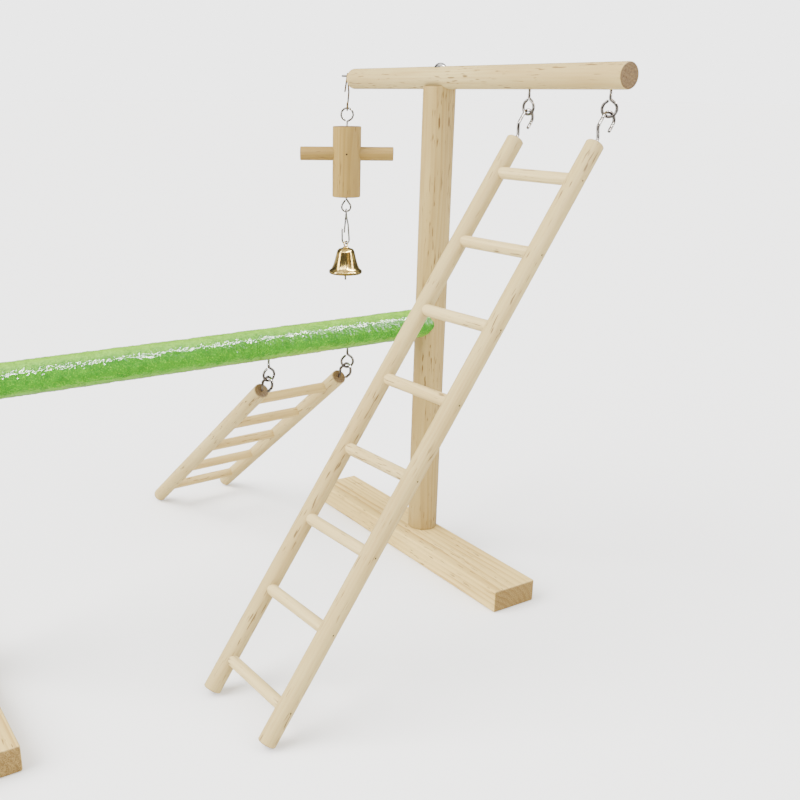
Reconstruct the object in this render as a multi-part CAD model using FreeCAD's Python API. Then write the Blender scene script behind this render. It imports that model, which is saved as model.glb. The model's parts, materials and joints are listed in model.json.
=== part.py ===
"""Wooden play stand for a small cage bird, in millimetres.

A tall stand carries a top perch with a long ladder and a hanging toy. A green sand-coated
perch joins it to a short stand and carries a short ladder. The origin is the centre of the
underside of the tall stand's base bar, +Z is up, +X runs along the base bar and the top
perch, and the green perch runs towards -Y.
"""
import FreeCAD
import Part
import os
from math import acos, asin, atan2, cos, radians, sin, sqrt, tan

# Stands
BASE_LENGTH = 260.0
BASE_WIDTH = 40.0
BASE_THICKNESS = 18.0
BASE_EDGE_RADIUS = 1.5
POST_DIAMETER = 25.0
POST_SETBACK = 7.0          # post axis behind the middle of the base bar
POST_SPACING = 400.0        # between the two post axes
POST_CHAMFER = 0.6
SHORT_POST_TOP = 225.0

# Perches
PERCH_DIAMETER = 16.4
PERCH_HEIGHT = 388.5
PERCH_LEFT_REACH = 121.0
PERCH_RIGHT_REACH = 187.5
PERCH_LEFT_ROUNDING = 3.0
PERCH_RIGHT_ROUNDING = 0.8
SADDLE_DEPTH = 2.5          # how deep the top perch sits in the tall post
GREEN_CORE_DIAMETER = 22.0
GREEN_GRIT_THICKNESS = 1.0
GREEN_HEIGHT = 200.5

# Ladders
RAIL_DIAMETER = 12.0
RAIL_CHAMFER = 0.6
RUNG_DIAMETER = 8.0
RUNG_SOCKET_DEPTH = 4.0
BRAD_RADIUS = 0.6
BRAD_SUNK = 0.2             # brad's head below the rail's surface
BRAD_LENGTH = 12.0
DRILL_RUN_OUT = 1.0         # a brad's hole is cut this far past the surface
LONG_RAIL_LENGTH = 424.0
LONG_RAIL_SPACING = 70.0
LONG_RUNGS = 8
LONG_FIRST_RUNG = 24.0      # lowest rung's axis above the rail's foot
LONG_RUNG_PITCH = 53.4
LONG_HANG_X = 137.0         # middle between the two ladder eyes
LONG_YAW = 3.0
LONG_HOOK_SUNK = 0.0
LONG_HOOK_TURNS = (0.0, -9.0)
LONG_EYE_TURNS = (5.0, 30.0)
SHORT_RAIL_LENGTH = 256.0
SHORT_RAIL_SPACING = 72.0
SHORT_RUNGS = 5
SHORT_FIRST_RUNG = 27.0
SHORT_RUNG_PITCH = 52.5
SHORT_HANG_Y = -108.5
SHORT_YAW = 2.5
SHORT_HOOK_SUNK = 3.2       # hooks screwed in until their bend meets the wood
SHORT_HOOK_TURNS = (0.0, 0.0)
SHORT_EYE_TURNS = (70.0, 93.0)

# Cup hooks in the rail ends
HOOK_WIRE = 2.1
HOOK_RADIUS = 4.65
HOOK_REACH = 17.5           # rail end to the middle of the hook's arc
HOOK_THREAD = 12.0
HOOK_BEND_START = 3.5
HOOK_BEND_END = 9.5
HOOK_BEND_RADIUS = 3.0
HOOK_TIP_DROP = 6.0         # middle of the arc back to the tip

# Screw eyes for the ladders
EYE_WIRE = 1.9
EYE_RADIUS = 4.65
EYE_DROP = 16.0             # perch underside to the middle of the wire at the ring's bottom
EYE_NECK = 10.5             # ring's bottom to the apex of the pear
EYE_THREAD = 10.0
EYE_NECK_BEND = 1.2
EYE_CLOSING_GAP = 0.7       # wire's end to its own neck
LINK_STEP = 2.8             # between wire middles where a hook hangs in an eye

# Screws
SCREW_SHANK_RADIUS = 1.9
FLAT_HEAD_RADIUS = 3.9
FLAT_HEAD_HEIGHT = 2.4
PAN_HEAD_RADIUS = 4.6
PAN_HEAD_HEIGHT = 3.0
PAN_HEAD_DOME = 5.1
PAN_HEAD_PROUD = 2.6        # head's top above the wood's crest
RECESS_LENGTH = 4.0
RECESS_WIDTH = 0.8
RECESS_DEPTH = 1.5
BASE_SCREW_SUNK = 0.4
BASE_SCREW_LENGTH = 45.0
GREEN_SCREW_LENGTH = 50.0
TOP_SCREW_LENGTH = 48.0

# Hanging toy
TOY_TURN = 57.1             # direction of the crossbar from +X
TOY_EYE_WIRE = 1.6
TOY_EYE_THREAD = 12.0
TOY_EYE_RADIUS = 4.4
TOY_EYE_NECK = 9.6
TOY_EYE_SHANK = 13.6        # ring's far wire to the perch's end
TOY_EYE_RISE = 2.4          # toy eye above the perch's axis
CLIP_WIRE = 1.4
CLIP_STEP = 1.8             # between wire middles where a clip hangs in an eye
CLIP_HALF_WIDTH = 1.9
CLIP_LOOP_RADIUS = 1.85
UPPER_CLIP_DROP = 28.0
UPPER_CLIP_HALF_WIDTH = 2.4
UPPER_CLIP_BEND = 2.3
UPPER_CLIP_GATE = 15.0      # free end below the upper loop
UPPER_CLIP_GATE_SHIFT = 2.2 # free end sideways of the loops
UPPER_CLIP_BOW = 1.2        # long run sideways of the loops
UPPER_CLIP_BOW_BEND = 8.0
UPPER_CLIP_TIP = 6.5        # other end above the lower loop
BLOCK_DIAMETER = 25.0
BLOCK_LENGTH = 60.0
TOY_CHAMFER = 0.5
CROSSBAR_DIAMETER = 11.8
CROSSBAR_LENGTH = 82.0
CROSSBAR_DROP = 23.0        # block's top to the crossbar's axis
TOY_PIN_RADIUS = 0.8
TOY_PIN_SUNK = 0.3
BLOCK_EYE_RADIUS = 5.2
BLOCK_EYE_NECK = 11.0
BLOCK_EYE_HEIGHT = 15.0     # ring's far wire to the wood
LOWER_EYE_RADIUS = 4.0
LOWER_EYE_NECK = 11.0
LOWER_EYE_HEIGHT = 12.9
LOWER_CLIP_DROP = 28.5
LOWER_CLIP_RADIUS = 3.2
LOWER_CLIP_SHOULDER = 5.5   # below the clip's upper loop, where its two runs cross over
LOWER_CLIP_SHIFT = 0.3      # shoulders and free end sideways of the loops
LOWER_CLIP_TIP = 13.5       # free end above the lower loop
LOWER_CLIP_RUN = 17.0       # where the closed side starts to lean in
LOWER_CLIP_KNEE = (16.5, 0.9)   # bend of the gate: above the lower loop, sideways
LOWER_CLIP_GATE = (9.5, 1.5)    # gate's end: above the lower loop, sideways
LOWER_CLIP_SIDE_BEND = 6.0
LOWER_CLIP_SHOULDER_BEND = 3.0
BEND_PLAY = 0.05            # keeps two neighbouring arcs from meeting exactly

# Bell
BELL_LOOP_OUTER = 3.35
BELL_LOOP_HOLE = 1.8
BELL_LOOP_TURN = -35.0
BELL_LOOP_PLAY = 0.3        # clip's wire to the loop
BELL_LOOP_SUNK = 0.4
BELL_SEAT_RADIUS = 2.4
BELL_SEAT_HEIGHT = 1.2
BELL_SEAT_SUNK = 0.2
BELL_WALL = 0.8
# Outline of the shell as (radius, height below the crown)
BELL_OUTSIDE = [(0.0, 0.0), (4.2, -0.3), (6.6, -1.3), (7.9, -2.9), (8.5, -5.2), (9.4, -9.2),
                (10.6, -13.6), (12.2, -17.3), (13.8, -19.6), (15.0, -20.8), (15.2, -22.0),
                (14.9, -23.0), (14.2, -23.4)]
BELL_INSIDE = [(13.5, -22.9), (13.1, -21.0), (11.5, -18.2), (9.8, -13.9), (8.6, -9.5),
               (7.7, -5.5), (7.1, -3.6), (6.0, -2.2), (3.9, -1.1), (0.0, -BELL_WALL)]
STAPLE_DEPTH = 5.6
STAPLE_HALF_WIDTH = 1.9
STAPLE_BEND = 1.7
CLAPPER_WIRE = 0.9
CLAPPER_BALL_RADIUS = 2.5
CLAPPER_BALL_DROP = 10.5    # staple to the middle of the ball
CLAPPER_ROD_RADIUS = 0.85
CLAPPER_ROD_START = 4.6
CLAPPER_REACH = 29.5        # bell's crown to the clapper's tip
# Hanger of the clapper as (across, along) spots from the staple, and its bends
CLAPPER_HANGER = [(0.35, -2.6), (1.5, -1.0), (1.5, 1.4), (-1.5, 1.4), (-1.5, -1.4), (0.0, -2.6),
                  (0.0, -5.0)]
CLAPPER_HANGER_BENDS = [0.8, 1.4, 1.4, 0.9, 0.6]

V = FreeCAD.Vector
UP = V(0, 0, 1)
FORE = V(1, 0, 0)
AFT = V(0, 1, 0)
POST_Y = POST_SETBACK
SHORT_POST_Y = POST_Y - POST_SPACING
PERCH_RADIUS = PERCH_DIAMETER / 2
PERCH_UNDERSIDE = PERCH_HEIGHT - PERCH_RADIUS
GREEN_RADIUS = GREEN_CORE_DIAMETER / 2 + GREEN_GRIT_THICKNESS
GREEN_UNDERSIDE = GREEN_HEIGHT - GREEN_RADIUS
RAIL_RADIUS = RAIL_DIAMETER / 2
HINGE_LIFT = HOOK_RADIUS - LINK_STEP    # hinge line above the middle of the hook's arc


def level(degrees):
    """A level direction, turned from +X towards +Y."""
    return V(cos(radians(degrees)), sin(radians(degrees)), 0)


def turned_about(vector, axis, degrees):
    """A direction turned about an axis."""
    return FreeCAD.Rotation(axis, degrees).multVec(vector)


def save(name, *solids):
    """Write the separate solids of one sub-part."""
    shape = solids[0] if len(solids) == 1 else Part.makeCompound(list(solids))
    shape.exportStep(os.path.join("parts", name + ".step"))


def rod(start, end, radius):
    """A round bar from start to end."""
    run = end - start
    return Part.makeCylinder(radius, run.Length, start, run)


def rims(bar):
    """The circular edges of a bar."""
    return [edge for edge in bar.Edges if isinstance(edge.Curve, Part.Circle)]


def dowel(start, end, diameter, chamfer):
    """A round wooden bar with both end edges eased."""
    bar = rod(start, end, diameter / 2)
    return bar.makeChamfer(chamfer, rims(bar))


def lathe(profile, centre):
    """A solid of revolution about a vertical axis from (radius, height) points."""
    points = [centre + V(r, 0, z) for r, z in profile]
    face = Part.Face(Part.makePolygon(points + points[:1]))
    return face.revolve(centre, UP, 360)


def placed(origin, across, along, spots):
    """Flat (across, along) spots laid out in space from an origin."""
    return [origin + across * a + along * b for a, b in spots]


def bent_wire(points, radii, diameter):
    """A round wire along straight runs and tangent arcs; one radius for each inner point."""
    edges = []
    here = points[0]
    for i, radius in enumerate(radii, start=1):
        corner = points[i]
        into = (corner - points[i - 1]).normalize()
        out = (points[i + 1] - corner).normalize()
        turn = acos(max(-1.0, min(1.0, into.dot(out))))
        setback = radius * tan(turn / 2)
        first = corner - into * setback
        last = corner + out * setback
        middle = corner + (out - into).normalize() * (radius / cos(turn / 2) - radius)
        if (first - here).Length > 1e-4:
            edges.append(Part.LineSegment(here, first).toShape())
        edges.append(Part.Arc(first, middle, last).toShape())
        here = last
    edges.append(Part.LineSegment(here, points[-1]).toShape())
    section = Part.Circle(points[0], points[1] - points[0], diameter / 2).toShape()
    return Part.Wire(edges).makePipeShell([Part.Wire([section])], True, False)


def screw_eye(bottom, across, along, ring_radius, neck, shank, thread, wire):
    """A pear-shaped eye on a screw shank.

    bottom is the middle of the wire at the far side of the ring and along points to the
    shank; neck is the height of the pear's apex and shank the height of the wood.
    """
    spread = asin(ring_radius / (neck - ring_radius))
    tip = ring_radius * (1 + sin(spread)) / cos(spread)
    side_run = sqrt(tip ** 2 + neck ** 2)
    closure = 1 - (wire / 2 + EYE_CLOSING_GAP) / sin(2 * spread) / side_run
    spots = [(0.0, shank + thread), (0.0, neck), (tip, 0.0), (-tip, 0.0),
             (-tip * (1 - closure), neck * closure)]
    bends = [EYE_NECK_BEND, ring_radius, ring_radius]
    return bent_wire(placed(bottom, across, along, spots), bends, wire)


def cup_hook(seat, across, along):
    """A question-mark hook screwed into a rail's end, open towards across."""
    top = HOOK_REACH + HOOK_RADIUS
    spots = [(0.0, -HOOK_THREAD), (0.0, HOOK_BEND_START), (-HOOK_RADIUS, HOOK_BEND_END),
             (-HOOK_RADIUS, top), (HOOK_RADIUS, top), (HOOK_RADIUS, HOOK_REACH - HOOK_TIP_DROP)]
    bends = [HOOK_BEND_RADIUS, HOOK_BEND_RADIUS, HOOK_RADIUS, HOOK_RADIUS]
    return bent_wire(placed(seat, across, along, spots), bends, HOOK_WIRE)


def recessed(screw, face, direction):
    """A screw with a cross recess; face is the middle of the head's outer face."""
    side = FORE if abs(direction.x) < 0.5 else AFT
    other = direction.cross(side)
    lead = 0.5
    for arm, wide in ((side, other), (other, side)):
        corner = face - arm * RECESS_LENGTH / 2 - wide * RECESS_WIDTH / 2 - direction * lead
        far = corner + arm * RECESS_LENGTH
        step = wide * RECESS_WIDTH
        outline = Part.makePolygon([corner, far, far + step, corner + step, corner])
        screw = screw.cut(Part.Face(outline).extrude(direction * (RECESS_DEPTH + lead)))
    return screw


def flat_screw(face, direction, length):
    """A countersunk wood screw."""
    head = Part.makeCone(FLAT_HEAD_RADIUS, SCREW_SHANK_RADIUS, FLAT_HEAD_HEIGHT, face, direction)
    shank = rod(face + direction * FLAT_HEAD_HEIGHT / 2, face + direction * length, SCREW_SHANK_RADIUS)
    return recessed(head.fuse(shank).removeSplitter(), face, direction)


def pan_screw(face, direction, length):
    """A wood screw with a domed head."""
    dome = Part.makeSphere(PAN_HEAD_DOME, face + direction * PAN_HEAD_DOME)
    head = dome.common(Part.makeCylinder(PAN_HEAD_RADIUS, PAN_HEAD_HEIGHT, face, direction))
    shank = rod(face + direction * PAN_HEAD_HEIGHT, face + direction * length, SCREW_SHANK_RADIUS)
    return recessed(head.fuse(shank).removeSplitter(), face, direction)


def base_bar(middle_y):
    """A flat bar with eased edges that lies on the floor."""
    corner = V(-BASE_LENGTH / 2, middle_y - BASE_WIDTH / 2, 0)
    bar = Part.makeBox(BASE_LENGTH, BASE_WIDTH, BASE_THICKNESS, corner)
    return bar.makeFillet(BASE_EDGE_RADIUS, bar.Edges)


def perch_eyes(name, hang, rung_way, spacing, underside, turns):
    """The pair of screw eyes that one ladder hangs from."""
    eyes = []
    for side, label, turn in ((-1, "left", turns[0]), (1, "right", turns[1])):
        bottom = hang + rung_way * side * spacing / 2
        eye = screw_eye(bottom, level(turn), UP, EYE_RADIUS, EYE_NECK, underside - bottom.z,
                        EYE_THREAD, EYE_WIRE)
        save("%s_eye_%s" % (name, label), eye)
        eyes.append(eye)
    return eyes


def build_ladder(name, hang, rung_way, lean_way, rail, rungs, hooks):
    """Rails, rungs, brads and hooks of one ladder that stands on the floor.

    hang is the middle of its hinge line, rail is (length, spacing), rungs is (count, first,
    pitch) and hooks is (how far they are sunk, their two turns about the rail).
    """
    length, spacing = rail
    count, first, pitch = rungs
    sunk, hook_turns = hooks
    reach = length + HOOK_REACH - sunk
    rise = hang.z - HINGE_LIFT
    lean = asin(rise / sqrt(reach ** 2 + RAIL_RADIUS ** 2)) - atan2(RAIL_RADIUS, reach)
    rail_way = lean_way * cos(lean) + UP * sin(lean)
    open_way = lean_way * sin(lean) - UP * cos(lean)
    top = hang - UP * HINGE_LIFT - rail_way * (HOOK_REACH - sunk)
    foot = top - rail_way * length

    inset = spacing / 2 - RAIL_RADIUS + RUNG_SOCKET_DEPTH
    rung_bars = []
    brads = []
    brad_holes = []
    for i in range(count):
        middle = foot + rail_way * (first + pitch * i)
        rung_bars.append(rod(middle - rung_way * inset, middle + rung_way * inset, RUNG_DIAMETER / 2))
        for side in (-1, 1):
            outwards = rung_way * side
            head = middle + outwards * (spacing / 2 + RAIL_RADIUS - BRAD_SUNK)
            tip = head - outwards * BRAD_LENGTH
            brads.append(rod(head, tip, BRAD_RADIUS))
            brad_holes.append(rod(head + outwards * DRILL_RUN_OUT, tip, BRAD_RADIUS))
    for side, label, hook_turn in ((-1, "left", hook_turns[0]), (1, "right", hook_turns[1])):
        offset = rung_way * side * spacing / 2
        bar = dowel(foot + offset, top + offset, RAIL_DIAMETER, RAIL_CHAMFER)
        opening = turned_about(open_way, rail_way, hook_turn)
        hook = cup_hook(top + offset - rail_way * sunk, opening, rail_way)
        save(name + "_rail_" + label, bar.cut(rung_bars + brad_holes + [hook]))
        save(name + "_hook_" + label, hook)
    for i, bar in enumerate(rung_bars, start=1):
        save("%s_rung_%d" % (name, i), bar.cut(brads))
    save(name + "_brads", *brads)


def build_toy(clip_hang, toy_way, face_way):
    """Upper clip, block, crossbar and their eyes; returns the lowest eye's ring."""
    clip_foot = -CLIP_STEP - UPPER_CLIP_DROP
    clip_spots = [(UPPER_CLIP_BEND, -UPPER_CLIP_GATE), (UPPER_CLIP_HALF_WIDTH, 0.0),
                  (-UPPER_CLIP_HALF_WIDTH, 0.0), (-UPPER_CLIP_BEND, -UPPER_CLIP_GATE),
                  (-CLIP_HALF_WIDTH, clip_foot), (CLIP_HALF_WIDTH, clip_foot),
                  (CLIP_HALF_WIDTH, clip_foot + UPPER_CLIP_TIP)]
    clip_bends = [UPPER_CLIP_BEND, UPPER_CLIP_BEND, UPPER_CLIP_BOW_BEND, CLIP_LOOP_RADIUS,
                  CLIP_LOOP_RADIUS]
    clip_path = placed(clip_hang + UP * CLIP_STEP, face_way, UP, clip_spots)
    clip_path[0] -= toy_way * UPPER_CLIP_GATE_SHIFT
    clip_path[3] += toy_way * UPPER_CLIP_BOW
    save("upper_clip", bent_wire(clip_path, clip_bends, CLIP_WIRE))

    ring_top = clip_hang - UP * (UPPER_CLIP_DROP - CLIP_STEP)
    block_top = ring_top - UP * BLOCK_EYE_HEIGHT
    block_bottom = block_top - UP * BLOCK_LENGTH
    low_ring = block_bottom - UP * LOWER_EYE_HEIGHT
    top_eye = screw_eye(ring_top, toy_way, -UP, BLOCK_EYE_RADIUS, BLOCK_EYE_NECK,
                        BLOCK_EYE_HEIGHT, TOY_EYE_THREAD, TOY_EYE_WIRE)
    low_eye = screw_eye(low_ring, toy_way, UP, LOWER_EYE_RADIUS, LOWER_EYE_NECK,
                        LOWER_EYE_HEIGHT, TOY_EYE_THREAD, TOY_EYE_WIRE)
    bar_middle = block_top - UP * CROSSBAR_DROP
    half_bar = toy_way * CROSSBAR_LENGTH / 2
    bar = dowel(bar_middle - half_bar, bar_middle + half_bar, CROSSBAR_DIAMETER, TOY_CHAMFER)
    pin_head = bar_middle + face_way * (BLOCK_DIAMETER / 2 - TOY_PIN_SUNK)
    pin = rod(pin_head, bar_middle, TOY_PIN_RADIUS)
    pin_hole = rod(pin_head + face_way * DRILL_RUN_OUT, bar_middle, TOY_PIN_RADIUS)
    block = dowel(block_bottom, block_top, BLOCK_DIAMETER, TOY_CHAMFER)
    save("toy_block", block.cut([bar, pin_hole, top_eye, low_eye]))
    save("toy_crossbar", bar.cut(pin))
    save("toy_pin", pin)
    save("toy_eye_top", top_eye)
    save("toy_eye_bottom", low_eye)
    return low_ring


def build_lower_clip(low_ring, bottom, toy_way, face_way):
    """A spring clip: its upper loop is turned a quarter turn from its lower one."""
    top = low_ring + UP * CLIP_STEP
    shoulder = top - UP * LOWER_CLIP_SHOULDER
    wide = LOWER_CLIP_RADIUS
    knee_rise, knee_side = LOWER_CLIP_KNEE
    gate_rise, gate_side = LOWER_CLIP_GATE
    points = [
        bottom + UP * LOWER_CLIP_TIP - toy_way * (wide + LOWER_CLIP_SHIFT),
        bottom - toy_way * wide,
        bottom + toy_way * wide,
        bottom + UP * LOWER_CLIP_RUN + toy_way * CLIP_HALF_WIDTH,
        shoulder + face_way * CLIP_HALF_WIDTH + toy_way * LOWER_CLIP_SHIFT,
        top + face_way * CLIP_HALF_WIDTH,
        top - face_way * CLIP_HALF_WIDTH,
        shoulder - face_way * CLIP_HALF_WIDTH - toy_way * LOWER_CLIP_SHIFT,
        bottom + UP * knee_rise - toy_way * knee_side,
        bottom + UP * gate_rise - toy_way * gate_side,
    ]
    lower_bend = wide - BEND_PLAY
    bends = [lower_bend, lower_bend, LOWER_CLIP_SIDE_BEND, LOWER_CLIP_SHOULDER_BEND,
             CLIP_LOOP_RADIUS, CLIP_LOOP_RADIUS, LOWER_CLIP_SHOULDER_BEND, LOWER_CLIP_SIDE_BEND]
    save("lower_clip", bent_wire(points, bends, CLIP_WIRE))


def build_bell(clip_bottom, toy_way, face_way):
    """The brass bell with its loop, staple and clapper."""
    loop_middle = clip_bottom + UP * (CLIP_WIRE / 2 + BELL_LOOP_PLAY - BELL_LOOP_HOLE)
    crown = loop_middle - UP * (BELL_LOOP_OUTER - BELL_LOOP_SUNK)
    loop_axis = turned_about(toy_way, UP, BELL_LOOP_TURN)
    ring = Part.makeTorus((BELL_LOOP_OUTER + BELL_LOOP_HOLE) / 2, (BELL_LOOP_OUTER - BELL_LOOP_HOLE) / 2,
                          loop_middle, loop_axis)
    seat = Part.makeCylinder(BELL_SEAT_RADIUS, BELL_SEAT_HEIGHT, crown - UP * BELL_SEAT_SUNK, UP)
    shell = lathe(BELL_OUTSIDE + BELL_INSIDE, crown)
    save("bell_shell", shell)
    save("bell_loop", ring.fuse(seat).cut(shell))

    staple_spots = [(-STAPLE_HALF_WIDTH, -BELL_WALL), (-STAPLE_HALF_WIDTH, -STAPLE_DEPTH),
                    (STAPLE_HALF_WIDTH, -STAPLE_DEPTH), (STAPLE_HALF_WIDTH, -BELL_WALL)]
    staple_path = placed(crown, toy_way, UP, staple_spots)
    staple = bent_wire(staple_path, [STAPLE_BEND, STAPLE_BEND], CLAPPER_WIRE)
    save("clapper_staple", staple.cut(shell))

    hang = crown - UP * STAPLE_DEPTH
    hanger_path = placed(hang, face_way, UP, CLAPPER_HANGER)
    hanger = bent_wire(hanger_path, CLAPPER_HANGER_BENDS, CLAPPER_WIRE)
    ball = Part.makeSphere(CLAPPER_BALL_RADIUS, hang - UP * CLAPPER_BALL_DROP)
    tail = rod(hang - UP * CLAPPER_ROD_START, crown - UP * CLAPPER_REACH, CLAPPER_ROD_RADIUS)
    save("clapper", hanger.fuse([ball, tail]).removeSplitter())


def build_toy_chain():
    """Everything that hangs at the left end of the top perch; returns the perch's eye."""
    toy_way = level(TOY_TURN)
    face_way = V(toy_way.y, -toy_way.x, 0)
    ring_far = V(-PERCH_LEFT_REACH - TOY_EYE_SHANK, POST_Y, PERCH_HEIGHT + TOY_EYE_RISE)
    toy_eye = screw_eye(ring_far, AFT, FORE, TOY_EYE_RADIUS, TOY_EYE_NECK, TOY_EYE_SHANK,
                        TOY_EYE_THREAD, TOY_EYE_WIRE)
    save("toy_perch_eye", toy_eye)
    ring_middle = ring_far + FORE * TOY_EYE_RADIUS
    low_ring = build_toy(ring_middle + face_way * TOY_EYE_RADIUS, toy_way, face_way)
    clip_bottom = low_ring - UP * LOWER_CLIP_DROP
    build_lower_clip(low_ring, clip_bottom, toy_way, face_way)
    build_bell(clip_bottom, toy_way, face_way)
    return toy_eye


def round_perch():
    """The top perch, well rounded at its left end and eased at its right end."""
    left_end = V(-PERCH_LEFT_REACH, POST_Y, PERCH_HEIGHT)
    right_end = V(PERCH_RIGHT_REACH, POST_Y, PERCH_HEIGHT)
    perch = rod(left_end, right_end, PERCH_RADIUS)
    left_rim = min(rims(perch), key=lambda edge: edge.CenterOfMass.x)
    perch = perch.makeFillet(PERCH_LEFT_ROUNDING, [left_rim])
    right_rim = max(rims(perch), key=lambda edge: edge.CenterOfMass.x)
    return perch.makeFillet(PERCH_RIGHT_ROUNDING, [right_rim])


def build_stands(toy_eye, long_eyes, short_eyes):
    """Base bars, posts, perches and their screws."""
    base_screws = [flat_screw(V(0, y, BASE_SCREW_SUNK), UP, BASE_SCREW_LENGTH)
                   for y in (POST_Y, SHORT_POST_Y)]
    proud = POST_DIAMETER / 2 + PAN_HEAD_PROUD
    tall_side_screw = pan_screw(V(0, POST_Y + proud, GREEN_HEIGHT), -AFT, GREEN_SCREW_LENGTH)
    short_side_screw = pan_screw(V(0, SHORT_POST_Y - proud, GREEN_HEIGHT), AFT, GREEN_SCREW_LENGTH)
    top_screw_face = V(0, POST_Y, PERCH_HEIGHT + PERCH_RADIUS + PAN_HEAD_PROUD)
    top_screw = pan_screw(top_screw_face, -UP, TOP_SCREW_LENGTH)
    save("base_screws", *base_screws)
    save("green_perch_screws", tall_side_screw, short_side_screw)
    save("top_perch_screw", top_screw)

    top_perch = round_perch()
    save("top_perch", top_perch.cut([top_screw, toy_eye] + long_eyes))

    tall_post = dowel(V(0, POST_Y, BASE_THICKNESS), V(0, POST_Y, PERCH_UNDERSIDE + SADDLE_DEPTH),
                      POST_DIAMETER, POST_CHAMFER)
    short_post = dowel(V(0, SHORT_POST_Y, BASE_THICKNESS), V(0, SHORT_POST_Y, SHORT_POST_TOP),
                       POST_DIAMETER, POST_CHAMFER)
    green_start = V(0, POST_Y, GREEN_HEIGHT)
    green_end = V(0, SHORT_POST_Y, GREEN_HEIGHT)
    core = rod(green_start, green_end, GREEN_CORE_DIAMETER / 2)
    coating = rod(green_start, green_end, GREEN_RADIUS).cut(core)
    posts = [tall_post, short_post]
    save("green_perch_core", core.cut(posts + [tall_side_screw, short_side_screw] + short_eyes))
    save("green_perch_coating", coating.cut(posts + short_eyes))
    save("tall_post", tall_post.cut([top_perch, top_screw, tall_side_screw, base_screws[0]]))
    save("short_post", short_post.cut([short_side_screw, base_screws[1]]))
    save("tall_base_bar", base_bar(0).cut(base_screws[0]))
    save("short_base_bar", base_bar(-POST_SPACING).cut(base_screws[1]))


def main():
    os.makedirs("parts", exist_ok=True)
    long_rung_way = level(LONG_YAW)
    long_lean_way = level(LONG_YAW + 90)
    long_hang = V(LONG_HANG_X, POST_Y, PERCH_UNDERSIDE - EYE_DROP)
    long_eyes = perch_eyes("long_ladder", long_hang, long_rung_way, LONG_RAIL_SPACING,
                           PERCH_UNDERSIDE, LONG_EYE_TURNS)
    build_ladder("long_ladder", long_hang, long_rung_way, long_lean_way,
                 (LONG_RAIL_LENGTH, LONG_RAIL_SPACING),
                 (LONG_RUNGS, LONG_FIRST_RUNG, LONG_RUNG_PITCH),
                 (LONG_HOOK_SUNK, LONG_HOOK_TURNS))

    short_rung_way = level(SHORT_YAW - 90)
    short_hang = V(0, SHORT_HANG_Y, GREEN_UNDERSIDE - EYE_DROP)
    short_eyes = perch_eyes("short_ladder", short_hang, short_rung_way, SHORT_RAIL_SPACING,
                            GREEN_UNDERSIDE, SHORT_EYE_TURNS)
    build_ladder("short_ladder", short_hang, short_rung_way, level(SHORT_YAW),
                 (SHORT_RAIL_LENGTH, SHORT_RAIL_SPACING),
                 (SHORT_RUNGS, SHORT_FIRST_RUNG, SHORT_RUNG_PITCH),
                 (SHORT_HOOK_SUNK, SHORT_HOOK_TURNS))
    toy_eye = build_toy_chain()
    build_stands(toy_eye, long_eyes, short_eyes)


main()
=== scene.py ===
"""Looks of the wooden bird play stand: materials, fine wire work, sand grains, light and camera."""
import bpy
import json
import numpy as np
from math import acos, asin, cos, pi, radians, sin, tan
from mathutils import Matrix, Quaternion, Vector


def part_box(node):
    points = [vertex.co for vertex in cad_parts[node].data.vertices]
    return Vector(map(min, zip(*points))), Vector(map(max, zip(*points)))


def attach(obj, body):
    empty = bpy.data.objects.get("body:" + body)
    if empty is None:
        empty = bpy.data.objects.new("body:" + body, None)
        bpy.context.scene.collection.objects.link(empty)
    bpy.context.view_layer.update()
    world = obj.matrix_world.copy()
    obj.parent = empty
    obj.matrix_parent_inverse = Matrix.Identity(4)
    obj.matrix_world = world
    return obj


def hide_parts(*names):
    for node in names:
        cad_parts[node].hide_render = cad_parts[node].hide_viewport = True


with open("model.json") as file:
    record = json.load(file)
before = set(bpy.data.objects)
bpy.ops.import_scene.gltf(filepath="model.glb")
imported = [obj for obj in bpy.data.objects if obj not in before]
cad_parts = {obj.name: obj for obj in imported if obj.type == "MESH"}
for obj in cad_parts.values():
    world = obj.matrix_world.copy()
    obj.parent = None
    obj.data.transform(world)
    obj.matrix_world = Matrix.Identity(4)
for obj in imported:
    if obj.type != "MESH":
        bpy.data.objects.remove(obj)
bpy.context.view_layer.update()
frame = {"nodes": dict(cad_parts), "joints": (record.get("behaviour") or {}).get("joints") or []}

MM = 0.001
Z = Vector((0.0, 0.0, 1.0))
JOINTS = {j["name"]: j for j in frame["joints"]}

# Camera: where it stands and how it looks, in metres and radians
CAMERA_AT = Vector((0.6320, -0.4791, 0.3781))
CAMERA_YAW = -1.0149
CAMERA_PITCH = -0.3411
CAMERA_ROLL = 0.0067
CAMERA_LENS = 44.16
CAMERA_SHIFT = (0.084, 0.050)
CAMERA_SENSOR = 36.0
CAMERA_CLIP = (0.02, 100.0)

# Light: the floor and the backdrop come out at the same grey
BACKDROP_GREY = 3.62
AMBIENT = 1.30
ROOM_LIGHT = 3.0
MIRRORED_FLOOR = 0.16

# Suns: name, azimuth, elevation, strength and angle across; shiny things do not mirror them
SUNS = [("key_left", 258, 42, 8.4, 50), ("key_right", 25, 38, 2.8, 50), ("top", 225, 72, 1.2, 30)]
SUN_COLOUR = (1.0, 0.985, 0.965)
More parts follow.
